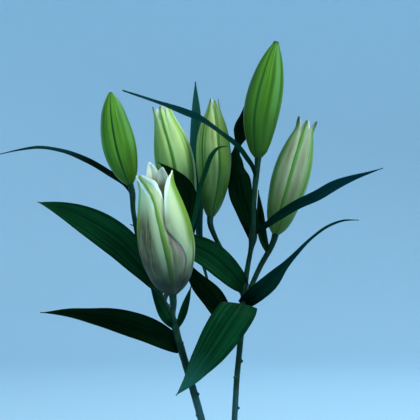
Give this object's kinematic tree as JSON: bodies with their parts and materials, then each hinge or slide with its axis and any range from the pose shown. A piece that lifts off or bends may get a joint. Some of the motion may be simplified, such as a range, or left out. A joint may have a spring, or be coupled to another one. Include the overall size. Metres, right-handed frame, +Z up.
{
  "type": "cut lily stems in a vase",
  "caption": "Cut lily stems with long pointed leaves, closed green buds and pale opening buds, standing in water in a plain bellied bottle vase.",
  "frame": {"origin": "middle of the flat foot of the vase", "axes": "+Z up along the vase's axis, -Y towards the front that the picture shows, +X to its right"},
  "size_m": [0.3487, 0.1286, 0.5627],
  "materials": {
    "vase": "satin pale grey glaze",
    "water": "clear and still",
    "stem": "smooth dark green stalk, slightly waxy",
    "closed_bud": "satin mid green with dark grooves",
    "opening_bud": "satin pale green to white with green ribs",
    "leaf": "slightly glossy dark blue-green with fine veins"
  },
  "bodies": {
    "root": {"vase": "vase", "water": "water", "stem_left": "stem", "stem_right": "stem", "bud_left": "closed_bud", "bud_top_right": "closed_bud", "bud_back_left": "opening_bud", "bud_middle": "opening_bud", "bud_right": "opening_bud", "bud_front": "opening_bud", "leaf_left_high": "leaf", "leaf_left_broad": "leaf", "leaf_left_low": "leaf", "leaf_front_folded": "leaf", "leaf_centre_broad": "leaf", "leaf_centre_dark": "leaf", "leaf_behind_front_bud": "leaf", "leaf_arched_thin": "leaf", "leaf_long_crossing": "leaf", "leaf_back_upright": "leaf", "leaf_right_high": "leaf", "leaf_right_low": "leaf", "leaf_right_dark": "leaf", "bract_left": "leaf", "bract_centre": "leaf", "bract_right": "leaf"}
  },
  "joints": []
}
